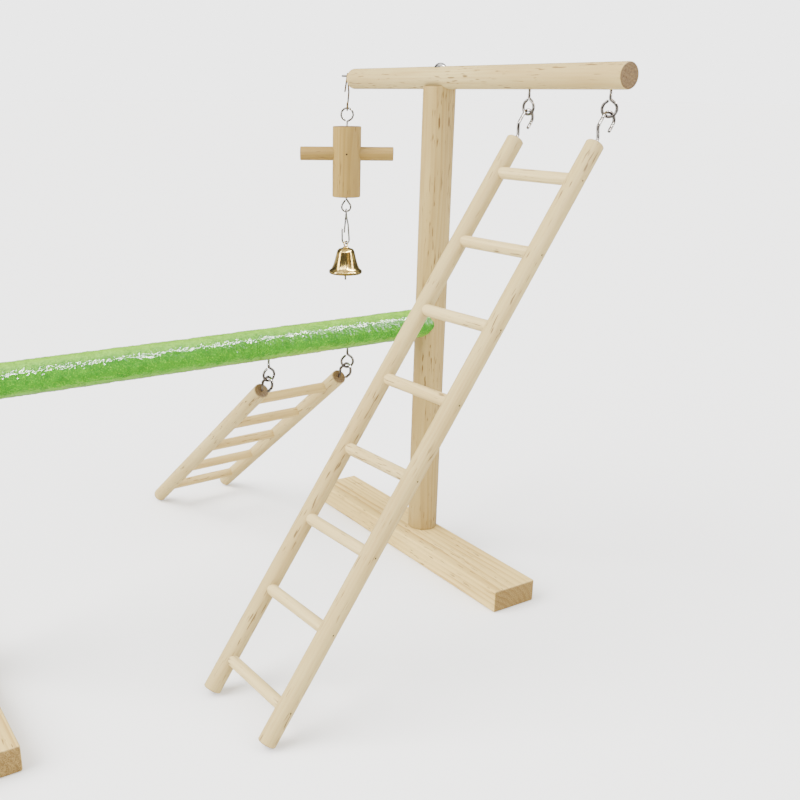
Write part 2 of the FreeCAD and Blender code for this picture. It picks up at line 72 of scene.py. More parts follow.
# Panels and black cards, which only show in shiny things: name, place, size and power
PANELS = [("strip_front", (0.55, -1.1, 1.25), (1.5, 0.25), 16),
          ("strip_left", (-0.5, -1.2, 0.7), (0.25, 1.2), 16),
          ("strip_right", (1.0, 0.9, 0.8), (0.22, 1.2), 14),
          ("strip_above", (0.78, 0.32, 1.31), (1.6, 0.12), 90)]
CARDS = [("card_front", (1.3, -0.95, 0.35), (0.7, 1.3)),
         ("card_left", (-0.6, -1.5, 0.2), (0.8, 0.9)),
         ("card_back", (-0.3, 1.4, 0.5), (0.7, 1.2))]
CARD_COLOUR = (0.02, 0.018, 0.015, 1)
LIT_MIDDLE = Vector((0, -0.1, 0.25))
# Brightness of the mirrored room from straight down (0) to straight up (1)
ROOM_TONES = ((0.0, 0.20), (0.50, 0.40), (0.62, 0.02), (0.74, 0.04), (0.88, 0.20), (1.0, 1.0))
FLOOR_REACH = 40.0
FLOOR_DROP = 0.2 * MM

# Bent wire, as in the model of the frame
BEND_STEP = 0.35 * MM
FINE_STEP = 0.2 * MM
EYE_WIRE = 1.9 * MM
EYE_RADIUS = 4.65 * MM
EYE_NECK = 10.5 * MM
EYE_NECK_BEND = 1.2 * MM
EYE_CLOSING_GAP = 0.2 * MM      # 0.5 mm closer than in the frame's model
EYE_TURNS = {"long_ladder_eye_left": 5, "long_ladder_eye_right": 30,
             "short_ladder_eye_left": 70, "short_ladder_eye_right": 93}
LADDER_RUNGS = {"long_ladder": 8, "short_ladder": 5}
HOOK_WIRE = 2.1 * MM
HOOK_RADIUS = 4.65 * MM
HOOK_REACH = 17.5 * MM
HOOK_STEP = 2.8 * MM
HOOK_TURNS = {"long_ladder_hook_left": 0, "long_ladder_hook_right": -9,
              "short_ladder_hook_left": 0, "short_ladder_hook_right": 0}
HOOK_SUNK = 12 * MM
HOOK_STEM = 3.5 * MM
HOOK_SHOULDER = 9.5 * MM
HOOK_POINT = 6 * MM
HOOK_BEND = 3 * MM
HOOK_THREAD = 13.6 * MM
TOY_WIRE = 1.6 * MM
PERCH_EYE = (4.4 * MM, 9.6 * MM)
BLOCK_EYE = (5.2 * MM, 11.0 * MM)
LOWER_EYE = (4.0 * MM, 11.0 * MM)
PERCH_EYE_THREAD = 11.5 * MM
BLOCK_EYE_THREAD = 11.0 * MM
CLIP_WIRE = 1.4 * MM
CLIP_STEP = 1.8 * MM
CLIP_HALF_WIDTH = 1.9 * MM
CLIP_LOOP_BEND = 1.85 * MM
THREAD_PITCH = 0.95 * MM
THREAD_DEPTH = 0.22 * MM
THREAD_START = 0.5 * MM
THREAD_STEPS = 9
THREAD_RIDGE = 0.28
THREAD_NECK = 2.4 * MM
WIRE_SIDES = 20
WIRE_DOME = 0.9
WIRE_TIP = 0.25

# Start of the upper clip's wire in millimetres from its top: (towards its face, sideways, up)
UPPER_CLIP_START = [(2.3, -2.2, -15), (2.4, 0.0, 0.0), (-2.4, 0.0, 0.0), (-2.3, 1.2, -15)]
UPPER_CLIP_TIP = 6.5
UPPER_CLIP_BEND = 2.3 * MM
UPPER_CLIP_BOW_BEND = 8.0 * MM

# Lower clip
LOWER_CLIP_RADIUS = 3.2 * MM
LOWER_CLIP_PLAY = 0.05 * MM
LOWER_CLIP_SHIFT = 0.3 * MM
LOWER_CLIP_TIP = 13.5 * MM
LOWER_CLIP_RUN = 17.0 * MM
LOWER_CLIP_SHOULDER = 5.5 * MM
LOWER_CLIP_KNEE = (16.5 * MM, 0.9 * MM)
LOWER_CLIP_GATE = (9.5 * MM, 1.5 * MM)
LOWER_CLIP_SIDE_BEND = 6 * MM
LOWER_CLIP_SHOULDER_BEND = 3 * MM

# Bell in millimetres: (radius, height below its crown) and the wires of its loop and its clapper
BELL_OUTSIDE = [(0.3, 0), (3.0, -0.1), (5.2, -0.6), (6.9, -1.5), (7.9, -2.9), (8.5, -5.2),
                (9.4, -9.2), (10.6, -13.6), (12.0, -17.2), (13.1, -19.2), (14.2, -19.9),
                (15.0, -20.6), (15.25, -21.7), (14.9, -22.8), (14.2, -23.35)]
BELL_INSIDE = [(13.5, -23.1), (13.3, -22.3), (12.9, -20.9), (11.5, -18.2), (9.8, -13.9),
               (8.6, -9.5), (7.7, -5.5), (7.1, -3.6), (6.0, -2.2), (3.9, -1.1), (0.3, -0.8)]
BELL_LOOP_RISE = 2.95 * MM
BELL_LOOP_TURN = -35
BELL_LOOP_WIRE = 1.3 * MM       # 0.25 mm thinner than in the frame's model
BELL_LOOP = [(-1.15, -3.05), (-1.2, -2.25), (-2.6, 0.0), (-2.6, 2.6), (2.6, 2.6), (2.6, 0.0),
             (1.2, -2.25), (1.15, -3.05)]
BELL_LOOP_BENDS = [0.3, 1.4, 2.55, 2.55, 1.4, 0.3]
BELL_COLLAR = [(0.2, -0.35), (2.9, -0.35), (2.9, 0.25), (2.5, 0.7), (1.6, 0.95), (0.2, 1.0)]
CLAPPER_HOOK = [(0.35, -2.6), (1.5, -1.0), (1.5, 1.4), (-1.5, 1.4), (-1.5, -1.4), (0.0, -2.6),
                (0.0, -9.0)]
CLAPPER_HOOK_BENDS = [0.8, 1.4, 1.4, 0.9, 0.6]
CLAPPER_WIRE = 0.9 * MM
CLAPPER_WEIGHT = [(0.2, -7.6), (1.3, -7.9), (2.2, -8.8), (2.5, -10.4), (2.25, -11.8), (1.4, -13.0),
                  (0.95, -14.0), (0.85, -16.0)]
CLAPPER_TAIL = [(0.85, 0.8), (0.7, 0.2), (0.2, 0.0)]

# Sand coating: points round and along it, and how far grains, lumps and waves lift its skin
SAND_AROUND = 140
SAND_ALONG = 700
SAND_SEED = 7
SAND_LAYERS = ((1, 0.085), (14, 0.075), (120, 0.06))
SAND_LIFT_LIMIT = 0.34
SAND_THICKNESS = 0.98 * MM


def direction(values):
    return Vector(values).normalized()


# ---------------------------------------------------------------- mesh helpers

def mesh_piece(name, vertices, faces, smooth=True):
    """A new mesh object from arrays of vertices and faces."""
    mesh = bpy.data.meshes.new(name)
    mesh.from_pydata([tuple(v) for v in vertices], [], [tuple(f) for f in faces])
    mesh.validate()
    mesh.polygons.foreach_set("use_smooth", [smooth] * len(mesh.polygons))
    piece = bpy.data.objects.new(name, mesh)
    bpy.context.scene.collection.objects.link(piece)
    return piece


def bend(points, radii, step=BEND_STEP):
    """Points along straight runs joined by tangent arcs, one radius for each inner point."""
    path = [points[0].copy()]
    for i, radius in enumerate(radii, start=1):
        corner = points[i]
        into = (corner - points[i - 1]).normalized()
        out = (points[i + 1] - corner).normalized()
        turn = acos(max(-1.0, min(1.0, into.dot(out))))
        first = corner - into * radius * tan(turn / 2)
        middle = corner + (out - into).normalized() * (radius / cos(turn / 2))
        axis = into.cross(out).normalized()
        add_run(path, first, step)
        count = max(4, int(radius * turn / step))
        for k in range(1, count + 1):
            path.append(middle + Quaternion(axis, turn * k / count) @ (first - middle))
    add_run(path, points[-1], step)
    return path


def add_run(path, end, step):
    """Adds evenly spaced points from the path's last point to end."""
    start = path[-1].copy()
    length = (end - start).length
    if length < 1e-6:
        return
    count = max(1, int(length / step))
    for k in range(1, count + 1):
        path.append(start.lerp(end, k / count))


def tube_faces(rings, sides):
    """Faces between equal rings of points, with a flat cap at each end."""
    faces = []
    for i in range(rings - 1):
        for k in range(sides):
            n = (k + 1) % sides
            faces.append((i * sides + k, i * sides + n, (i + 1) * sides + n, (i + 1) * sides + k))
    faces.append(tuple(range(sides))[::-1])
    last = (rings - 1) * sides
    faces.append(tuple(range(last, last + sides)))
    return faces


def wire(name, path, diameter, thread_from=None, thread_to=None):
    """A round wire along a path with domed ends; a stretch of it may carry a screw thread."""
    points = np.array([tuple(p) for p in path])
    steps = np.linalg.norm(np.diff(points, axis=0), axis=1)
    run = np.concatenate([[0.0], np.cumsum(steps)])
    if thread_from is not None:
        fine = np.arange(thread_from, thread_to, THREAD_PITCH / THREAD_STEPS)
        keep = np.concatenate([run[run < thread_from], fine, run[run >= thread_to]])
        points = np.column_stack([np.interp(keep, run, points[:, k]) for k in range(3)])
        run = keep
    tangents = np.gradient(points, axis=0)
    tangents /= np.linalg.norm(tangents, axis=1)[:, None]
    radius = diameter / 2
    dome = WIRE_DOME * radius
    angles = np.linspace(0, 2 * pi, WIRE_SIDES, endpoint=False)
    side = Vector(tangents[0]).orthogonal().normalized()
    rings = []
    for i, (point, tangent) in enumerate(zip(points, tangents)):
        tangent = Vector(tangent)
        side = (side - tangent * side.dot(tangent)).normalized()
        other = tangent.cross(side)
        near = min(run[i], run[-1] - run[i])
        lift = radius
        if near < dome:
            lift = radius * max(WIRE_TIP, (1 - (1 - near / dome) ** 2) ** 0.5)
        lifts = np.full(WIRE_SIDES, lift)
        if thread_from is not None and thread_from <= run[i] <= thread_to:
            phase = (run[i] / THREAD_PITCH - angles / (2 * pi)) % 1.0
            ridge = np.clip(1.0 - abs(phase - 0.5) / THREAD_RIDGE, 0.0, 1.0)
            lifts = lifts - THREAD_DEPTH + THREAD_DEPTH * 1.5 * ridge
        ring = np.outer(np.cos(angles) * lifts, side) + np.outer(np.sin(angles) * lifts, other)
        rings.append(ring + point)
    return mesh_piece(name, np.vstack(rings), tube_faces(len(rings), WIRE_SIDES))


def lathe(name, profile, centre, sides=128):
    """A closed turned shape about a vertical axis, from (radius, height) points end to end."""
    angles = np.linspace(0, 2 * pi, sides, endpoint=False)
    vertices = []
    for r, z in profile:
        for a in angles:
            vertices.append((centre.x + r * cos(a), centre.y + r * sin(a), centre.z + z))
    return mesh_piece(name, vertices, tube_faces(len(profile), sides))


def smooth_profile(points, rounds=2):
    """Rounds an outline by cutting its corners; its two ends stay where they are."""
    for _ in range(rounds):
        finer = [points[0]]
        for (r0, z0), (r1, z1) in zip(points, points[1:]):
            finer.append((0.75 * r0 + 0.25 * r1, 0.75 * z0 + 0.25 * z1))
            finer.append((0.25 * r0 + 0.75 * r1, 0.25 * z0 + 0.75 * z1))
        finer.append(points[-1])
        points = finer
    return points


def middle_of(node):
    """Middle of a node's box."""
    low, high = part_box(node)
    return (Vector(low) + Vector(high)) / 2


def grain_line(node):
    """Middle and long direction of a piece, from its own vertices."""
    mesh = frame["nodes"][node].data
    points = np.empty(len(mesh.vertices) * 3)
    mesh.vertices.foreach_get("co", points)
    points = points.reshape(-1, 3)
    centre = (points.min(axis=0) + points.max(axis=0)) / 2
    _, _, ways = np.linalg.svd(points - points.mean(axis=0), full_matrices=False)
    return Vector(centre), Vector(ways[0]).normalized()


# ---------------------------------------------------------------- materials

class Nodes:
    """Short hand for building one material's node tree."""

    def __init__(self, name):
        self.material = bpy.data.materials.new(name)
        self.material.use_nodes = True
        self.tree = self.material.node_tree
        self.shader = self.tree.nodes["Principled BSDF"]

    def add(self, kind, **settings):
        node = self.tree.nodes.new(kind)
        for key, value in settings.items():
            setattr(node, key, value)
        return node

    def feed(self, source, node, socket):
        if isinstance(source, bpy.types.NodeSocket):
            self.tree.links.new(source, node.inputs[socket])
        else:
            node.inputs[socket].default_value = source

    def math(self, operation, a, b=0.0):
        node = self.add("ShaderNodeMath", operation=operation)
        self.feed(a, node, 0)
        self.feed(b, node, 1)
        return node.outputs[0]

    def remap(self, value, low, high, new_low=0.0, new_high=1.0):
        node = self.add("ShaderNodeMapRange")
        node.clamp = True
        self.feed(value, node, 0)
        for socket, number in zip((1, 2, 3, 4), (low, high, new_low, new_high)):
            node.inputs[socket].default_value = number
        return node.outputs[0]

    def noise(self, vector, scale, detail, roughness):
        node = self.add("ShaderNodeTexNoise")
        self.feed(vector, node, "Vector")
        node.inputs["Scale"].default_value = scale
        node.inputs["Detail"].default_value = detail
        node.inputs["Roughness"].default_value = roughness
        return node.outputs["Fac"]

    def stretch(self, vector, scale):
        node = self.add("ShaderNodeVectorMath", operation="MULTIPLY")
        self.feed(vector, node, 0)
        node.inputs[1].default_value = scale
        return node.outputs[0]

    def mix(self, factor, a, b):
        node = self.add("ShaderNodeMix", data_type="RGBA")
        self.feed(factor, node, 0)
        self.feed(a, node, 6)
        self.feed(b, node, 7)
        return node.outputs[2]

    def bump(self, height, distance, strength, normal=None):
        node = self.add("ShaderNodeBump")
        node.inputs["Strength"].default_value = strength
        node.inputs["Distance"].default_value = distance
        self.feed(height, node, "Height")
        if normal is not None:
            self.feed(normal, node, "Normal")
        return node.outputs[0]


def rgba(colour):
    return (colour[0], colour[1], colour[2], 1.0)


# Noise figures of the wood: share of the scale along the grain, scale, detail and roughness
WOOD_FIGURES = {"wander": (0.10, 42.0, 2.0, 0.55), "patch": (0.14, 65.0, 2.0, 0.6),
                "fibre": (0.022, 1900.0, 3.0, 0.6), "streak": (0.035, 420.0, 3.0, 0.6),
                "fleck": (0.115, 820.0, 1.0, 0.4), "fleck_zone": (0.35, 70.0, 1.0, 0.5),
                "cloud": (0.25, 26.0, 3.0, 0.6)}
PORES = (1500.0, 2.0, 0.6)
FLECK_EDGE = 0.07
LATE_WOOD = (0.35, 0.88, 0.90)  # where a ring starts to darken, is darkest, and starts to end
WOOD_SPECULAR = 0.22
FIBRE_RELIEF = 0.00012
RING_RELIEF = 0.00010
PORE_RELIEF = 0.00016


def wood_figure(n, place, name):
    """One of the wood's noise figures, drawn out along the grain."""
    along, scale, detail, roughness = WOOD_FIGURES[name]
    return n.noise(n.stretch(place, (1.0, 1.0, along)), scale, detail, roughness)


def wood(name, centre, grain, look, seed):
    """Bare sanded softwood with its grain along one direction.

    look holds the pale, ring, fleck and end colours and how strong the rings and flecks are.
    """
    n = Nodes(name)
    turn = grain.rotation_difference(Z)
    coords = n.add("ShaderNodeTexCoord")
    mapping = n.add("ShaderNodeMapping", vector_type="POINT")
    n.feed(coords.outputs["Object"], mapping, "Vector")
    mapping.inputs["Rotation"].default_value = turn.to_euler("XYZ")
    shift = turn @ centre
    generator = np.random.default_rng(seed)
    pith_angle = generator.uniform(0, 2 * pi)
    pith = Vector((cos(pith_angle), sin(pith_angle), 0)) * look["pith"]
    along = Vector((0, 0, generator.uniform(-3, 3)))
    mapping.inputs["Location"].default_value = -shift + pith + along
    place = mapping.outputs[0]

    # Growth rings: distance from the pith, wandering slowly along the piece
    wander = wood_figure(n, place, "wander")
    flat = n.stretch(place, (1.0, 1.0, 0.0))
    length = n.add("ShaderNodeVectorMath", operation="LENGTH")
    n.feed(flat, length, 0)
    reach = n.math("ADD", length.outputs["Value"], n.math("MULTIPLY", wander, look["wander"]))
    ring = n.math("FRACT", n.math("MULTIPLY", reach, 1.0 / look["ring_width"]))
    darkens, darkest, ends = LATE_WOOD
    late = n.math("MULTIPLY", n.remap(ring, darkens, darkest), n.remap(ring, 1.0, ends))
    patch = wood_figure(n, place, "patch")
    late = n.math("MULTIPLY", late, n.remap(patch, 0.35, 0.65, 0.25, 1.0))

    # Fibres, and short dark flecks that follow them
    fibre = wood_figure(n, place, "fibre")
    streak = wood_figure(n, place, "streak")
    fleck_field = wood_figure(n, place, "fleck")
    fleck_zone = wood_figure(n, place, "fleck_zone")
    fleck_from = look["fleck_from"]
    fleck = n.math("MULTIPLY", n.remap(fleck_field, fleck_from, fleck_from + FLECK_EDGE),
                   n.remap(fleck_zone, 0.44, 0.58))
    cloud = wood_figure(n, place, "cloud")

    # End faces cut across the grain are browner and speckled with pores
    facing = n.add("ShaderNodeVectorMath", operation="DOT_PRODUCT")
    n.feed(coords.outputs["Normal"], facing, 0)
    facing.inputs[1].default_value = grain
    end = n.remap(n.math("ABSOLUTE", facing.outputs["Value"]), 0.55, 0.9)
    pores = n.noise(place, *PORES)
    end_tone = n.mix(n.remap(pores, 0.40, 0.66), rgba(look["end"]), rgba(look["end_dark"]))
    end_tone = n.mix(n.math("MULTIPLY", late, 0.6), end_tone, rgba(look["end_dark"]))

    tone = n.mix(n.remap(cloud, 0.3, 0.7), rgba(look["pale"]), rgba(look["warm"]))
    tone = n.mix(n.math("MULTIPLY", late, look["rings"]), tone, rgba(look["ring"]))
    tone = n.mix(n.remap(streak, 0.48, 0.74, 0.0, look["streaks"]), tone, rgba(look["ring"]))
    tone = n.mix(n.remap(fibre, 0.30, 0.75, 0.0, 0.22), tone, rgba(look["fibre"]))
    tone = n.mix(n.math("MULTIPLY", fleck, look["flecks"]), tone, rgba(look["fleck"]))
    tone = n.mix(end, tone, end_tone)
    n.feed(tone, n.shader, "Base Color")
    n.feed(n.remap(n.math("ADD", fibre, late), 0.2, 1.4, 0.50, 0.68), n.shader, "Roughness")
    n.shader.inputs["Specular IOR Level"].default_value = WOOD_SPECULAR
    relief = n.bump(fibre, FIBRE_RELIEF, 0.55)
    dents = n.math("MULTIPLY", n.math("ADD", late, fleck), -1.0)
    relief = n.bump(dents, RING_RELIEF, 0.5, relief)
    relief = n.bump(n.math("MULTIPLY", pores, end), PORE_RELIEF, 0.6, relief)
    n.feed(relief, n.shader, "Normal")
    return n.material


# Metals: clean colour, stained colour, roughness and depth of the fine scratches
METALS = {"nickel": ((0.46, 0.43, 0.40), (0.10, 0.078, 0.060), 0.08, 0.35),
          "clip_steel": ((0.24, 0.165, 0.070), (0.06, 0.038, 0.016), 0.16, 0.35),
          "screw_steel": ((0.62, 0.61, 0.60), (0.28, 0.26, 0.24), 0.16, 0.35),
          "brad_steel": ((0.05, 0.038, 0.03), (0.02, 0.014, 0.01), 0.45, 0.35),
          "brass": ((0.71, 0.52, 0.18), (0.37, 0.255, 0.075), 0.11, 0.2)}
STAINS = (420.0, 3.0, 0.6)
SCRATCHES = (3200.0, 2.0, 0.6)
SCRATCH_RELIEF = 0.00002
STAIN_ROUGHNESS = 0.16


def metal(name):
    """Plated or polished metal, a little uneven, with dull and stained patches."""
    colour, dark, roughness, scratch = METALS[name]
    n = Nodes(name)
    coords = n.add("ShaderNodeTexCoord")
    place = coords.outputs["Object"]
    stain = n.noise(place, *STAINS)
    scratches = n.noise(place, *SCRATCHES)
    tone = n.mix(n.remap(stain, 0.38, 0.62, 0.0, 0.85), rgba(colour), rgba(dark))
    n.feed(tone, n.shader, "Base Color")
    n.shader.inputs["Metallic"].default_value = 1.0
    dulled = n.remap(stain, 0.3, 0.75, roughness, roughness + STAIN_ROUGHNESS)
    n.feed(dulled, n.shader, "Roughness")
    n.feed(n.bump(scratches, SCRATCH_RELIEF, scratch), n.shader, "Normal")
    return n.material


# Green coating: colours of the binder and its grains, painted shade and painted light, then its noise
# and its gloss
SAND_DEEP = (0.020, 0.180, 0.0005, 1)
SAND_GREEN = (0.052, 0.290, 0.0010, 1)
SAND_GRAIN = (0.210, 0.560, 0.010, 1)
# Painted shade for the hollows between the grains
SAND_PAINTED_GAP_SHADE = (0.010, 0.095, 0.0002, 1)
# Painted light: paler green for the upward faces of the sleeve
SAND_PAINTED_TOP_LIGHT = (0.330, 0.620, 0.040, 1)
# Painted light: paler, greyer green for the underside, standing in for light bounced up from the
# floor
SAND_PAINTED_FLOOR_BOUNCE = (0.240, 0.420, 0.050, 1)
GRAIN_SCALE = 1500.0
SPECKLES = (900.0, 3.0, 0.7)
PATCHES = (160.0, 3.0, 0.6)
CRUST = (300.0, 3.0, 0.60)
SAND_SPECULAR = 0.10
COAT_ROUGHNESS = 0.03
COAT_IOR = 1.42
SPECKLE_RELIEF = 0.00035
GRAIN_RELIEF = 0.00030
CRUST_RELIEF = 0.0005


def green_sand():
    """Sand grains in a glossy green binder."""
    n = Nodes("green_sand")
    coords = n.add("ShaderNodeTexCoord")
    place = coords.outputs["Object"]
    grains = n.add("ShaderNodeTexVoronoi", feature="F1")
    n.feed(place, grains, "Vector")
    grains.inputs["Scale"].default_value = GRAIN_SCALE
    grain = grains.outputs["Distance"]
    speckle = n.noise(place, *SPECKLES)
    patch = n.noise(place, *PATCHES)
    tone = n.mix(n.remap(patch, 0.32, 0.68), SAND_DEEP, SAND_GREEN)
    tone = n.mix(n.remap(speckle, 0.50, 0.70, 0.0, 0.70), tone, SAND_GRAIN)
    # Darker in the hollows between grains: painted shade
    tone = n.mix(n.remap(grain, 0.30, 0.75, 0.0, 0.50), tone, SAND_PAINTED_GAP_SHADE)

    # Paler on top: painted light from above
    facing = n.add("ShaderNodeVectorMath", operation="DOT_PRODUCT")
    n.feed(coords.outputs["Normal"], facing, 0)
    facing.inputs[1].default_value = (0.0, 0.0, 1.0)
    painted_top_light = n.math("ADD", facing.outputs["Value"], n.math("MULTIPLY", patch, 0.5))
    tone = n.mix(n.remap(painted_top_light, 0.80, 1.25, 0.0, 0.45), tone, SAND_PAINTED_TOP_LIGHT)
    # Paler and greyer underneath: painted light bounced up from the floor
    painted_floor_bounce = n.math("SUBTRACT", n.math("MULTIPLY", patch, 0.5), facing.outputs["Value"])
    tone = n.mix(n.remap(painted_floor_bounce, 0.65, 0.95, 0.0, 0.40), tone, SAND_PAINTED_FLOOR_BOUNCE)
    n.feed(tone, n.shader, "Base Color")
    n.feed(n.remap(speckle, 0.3, 0.7, 0.45, 0.65), n.shader, "Roughness")
    n.shader.inputs["Specular IOR Level"].default_value = SAND_SPECULAR
    n.shader.inputs["Coat Weight"].default_value = 1.0
    n.shader.inputs["Coat Roughness"].default_value = COAT_ROUGHNESS
    n.shader.inputs["Coat IOR"].default_value = COAT_IOR
    relief = n.bump(speckle, SPECKLE_RELIEF, 0.7)
    relief = n.bump(n.math("MULTIPLY", grain, -1.0), GRAIN_RELIEF, 0.7, relief)
    n.feed(relief, n.shader, "Normal")
    crust = n.noise(place, *CRUST)
    n.feed(n.bump(crust, CRUST_RELIEF, 0.36), n.shader, "Coat Normal")
    return n.material


PALE = dict(pale=(0.47, 0.370, 0.163), warm=(0.38, 0.275, 0.105), ring=(0.29, 0.185, 0.055),
            fibre=(0.36, 0.250, 0.085), fleck=(0.095, 0.045, 0.012), end=(0.170, 0.105, 0.036),
            end_dark=(0.075, 0.038, 0.010), pith=0.050, wander=0.010, ring_width=0.0026,
            rings=0.34, streaks=0.34, flecks=0.80, fleck_from=0.635)
RUNG = dict(PALE, pale=(0.60, 0.480, 0.230), warm=(0.53, 0.400, 0.170))
POST = dict(PALE, pale=(0.38, 0.280, 0.100), warm=(0.31, 0.215, 0.068), ring=(0.21, 0.125, 0.034),
            rings=0.50, streaks=0.50, flecks=0.90, fleck_from=0.61)
BASE = dict(PALE, pale=(0.68, 0.510, 0.190), warm=(0.57, 0.405, 0.125), ring=(0.34, 0.200, 0.048),
            end=(0.290, 0.190, 0.056), end_dark=(0.125, 0.070, 0.016), rings=0.85, ring_width=0.0044,
            pith=0.040)
# Painted shade: a darker, browner copy of the rung colours for the short ladder's rungs
SHADED_RUNG = dict(RUNG, pale=(0.53, 0.390, 0.148), warm=(0.45, 0.310, 0.100), streaks=0.50)
TOY = dict(PALE, pale=(0.320, 0.215, 0.054), warm=(0.265, 0.170, 0.040), ring=(0.18, 0.100, 0.020),
           fibre=(0.23, 0.140, 0.034), end=(0.20, 0.12, 0.032), rings=0.45, flecks=0.70)
WOODS = {"tall_base_bar": BASE, "short_base_bar": BASE, "tall_post": POST, "short_post": POST,
         "top_perch": PALE, "green_perch_core": PALE, "toy_block": TOY, "toy_crossbar": TOY}


def paint(node, material):
    """Gives a carried-over node its material."""
    mesh = frame["nodes"][node].data
    mesh.materials.clear()
    mesh.materials.append(material)
    mesh.polygons.foreach_set("material_index", [0] * len(mesh.polygons))


def extra_piece(piece, material, body):
    """Material and body of a new piece of a node that another piece already stands for."""
    piece.data.materials.append(material)
    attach(piece, body)


def finish_piece(piece, material, body, slot, *nodes):
    """Material and body of a new piece, and the nodes it stands for, which are hidden; slot is not
    used.
    """
    extra_piece(piece, material, body)
    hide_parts(*nodes)


def paint_wood():
    """Every wooden node gets its own board's grain."""
    for seed, node in enumerate(sorted(frame["nodes"]), start=11):
        look = WOODS.get(node)
        if "_rail_" in node:
            look = PALE
        elif "_rung_" in node:
            look = RUNG if node.startswith("long") else SHADED_RUNG
        if look is not None:
            centre, grain = grain_line(node)
            paint(node, wood("wood_" + node, centre, grain, look, seed))


# ---------------------------------------------------------------- wire pieces

def eye_path(bottom, across, along, radius, neck, shank_end, diameter):
    """A pear-shaped eye's wire, from the end of its shank round to its open end."""
    spread = asin(radius / (neck - radius))
    tip = radius * (1 + sin(spread)) / cos(spread)
    closure = 1 - (diameter / 2 + EYE_CLOSING_GAP) / sin(2 * spread) / (tip ** 2 + neck ** 2) ** 0.5
    spots = [(0.0, shank_end), (0.0, neck), (tip, 0.0), (-tip, 0.0),
             (-tip * (1 - closure), neck * closure)]
    points = [bottom + across * a + along * b for a, b in spots]
    return bend(points, [EYE_NECK_BEND, radius, radius])


def ladder_eyes(nickel):
    """Screw eyes under the perches that the ladders hang from."""
    for node, turn in EYE_TURNS.items():
        low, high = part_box(node)
        bottom = Vector(((low[0] + high[0]) / 2, (low[1] + high[1]) / 2, 0))
        joint = JOINTS["long_ladder_swing" if node.startswith("long") else "short_ladder_swing"]
        bottom.z = joint["pos_m"][2]
        across = Vector((cos(radians(turn)), sin(radians(turn)), 0))
        shank_end = high[2] - bottom.z
        path = eye_path(bottom, across, Z, EYE_RADIUS, EYE_NECK, shank_end, EYE_WIRE)
        thread = (THREAD_START, shank_end - EYE_NECK - THREAD_NECK)
        piece = wire(node + "_wire", path, EYE_WIRE, *thread)
        finish_piece(piece, nickel, "stand", "nickel_wire", node)


def ladder_hooks(nickel):
    """Cup hooks in the upper ends of the ladders' rails."""
    for node, turn in HOOK_TURNS.items():
        ladder = node[:node.index("_hook")]
        highest = middle_of("%s_rung_%d" % (ladder, LADDER_RUNGS[ladder]))
        rail_way = (highest - middle_of(ladder + "_rung_1")).normalized()
        joint = JOINTS[ladder + "_swing"]
        rung_way = -direction(joint["axis"])
        open_way = rail_way.cross(rung_way)
        if open_way.z > 0:
            open_way = -open_way
        apart = middle_of(ladder + "_eye_right") - middle_of(ladder + "_eye_left")
        spread = abs(apart.dot(rung_way)) / 2
        side = -1 if node.endswith("left") else 1
        hang = Vector(joint["pos_m"]) + rung_way * side * spread
        seat = hang - Z * (HOOK_RADIUS - HOOK_STEP) - rail_way * HOOK_REACH
        across = Quaternion(rail_way, radians(turn)) @ open_way
        top = HOOK_REACH + HOOK_RADIUS
        spots = [(0.0, -HOOK_SUNK), (0.0, HOOK_STEM), (-HOOK_RADIUS, HOOK_SHOULDER),
                 (-HOOK_RADIUS, top), (HOOK_RADIUS, top), (HOOK_RADIUS, HOOK_REACH - HOOK_POINT)]
        points = [seat + across * a + rail_way * b for a, b in spots]
        path = bend(points, [HOOK_BEND, HOOK_BEND, HOOK_RADIUS, HOOK_RADIUS])
        piece = wire(node + "_wire", path, HOOK_WIRE, THREAD_START, HOOK_THREAD)
        finish_piece(piece, nickel, ladder, "nickel_wire", node)


def toy_ways():
    """Directions of the toy: across the picture's plane and towards its face."""
    return direction(JOINTS["upper_clip_swing"]["axis"]), direction(JOINTS["toy_block_swing"]["axis"])


def toy_eye(node, body, ring, across, along, eye, shank_end, thread_end, nickel):
    """One of the toy's three screw eyes; eye holds its ring's radius and its neck's distance."""
    radius, neck = eye
    path = eye_path(ring, across, along, radius, neck, shank_end, TOY_WIRE)
    piece = wire(node + "_wire", path, TOY_WIRE, THREAD_START, thread_end)
    finish_piece(piece, nickel, body, "nickel_wire", node)


